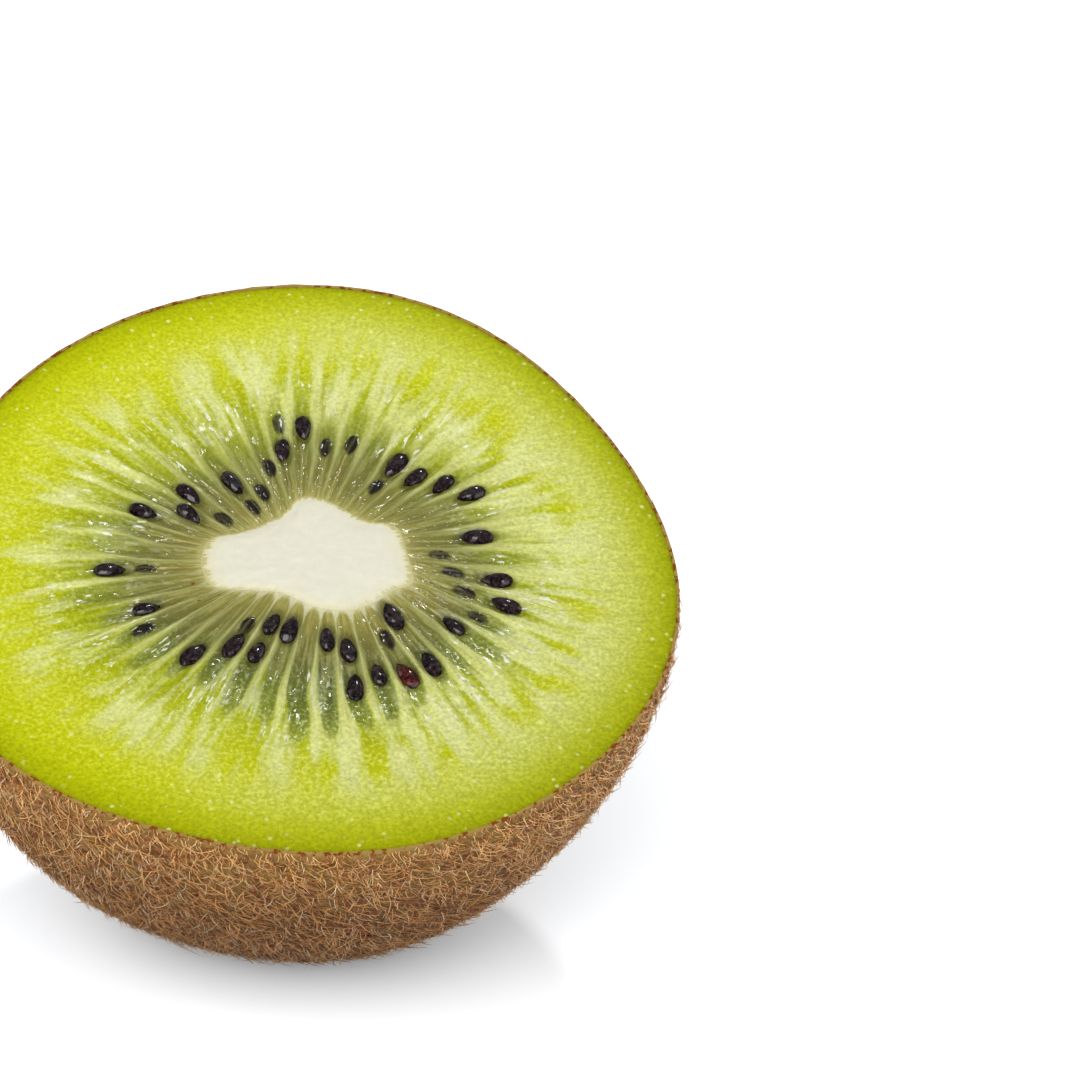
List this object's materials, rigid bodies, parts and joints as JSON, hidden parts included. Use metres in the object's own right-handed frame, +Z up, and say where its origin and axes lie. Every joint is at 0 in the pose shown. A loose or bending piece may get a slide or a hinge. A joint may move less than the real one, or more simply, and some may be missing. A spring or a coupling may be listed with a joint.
{
  "type": "kiwi fruit half",
  "caption": "Half of a brown-skinned kiwi fruit, cut across its middle, lying on its rounded side with the green cut face, pale core and ring of dark seeds tipped forward.",
  "frame": {"origin": "middle of the small flat spot that the rounded skin rests on", "axes": "+Z up, +X along the longer way across the cut, and the cut face looks up and towards -Y"},
  "size_m": [0.0542, 0.0501, 0.044],
  "materials": {
    "flesh": "moist, translucent green fruit flesh",
    "core": "moist pale cream core",
    "skin": "dull brown rind",
    "fuzz": "short stiff golden brown hairs",
    "seeds": "shiny purple black seeds"
  },
  "bodies": {
    "root": {"flesh": "flesh", "core": "core"}
  },
  "joints": []
}
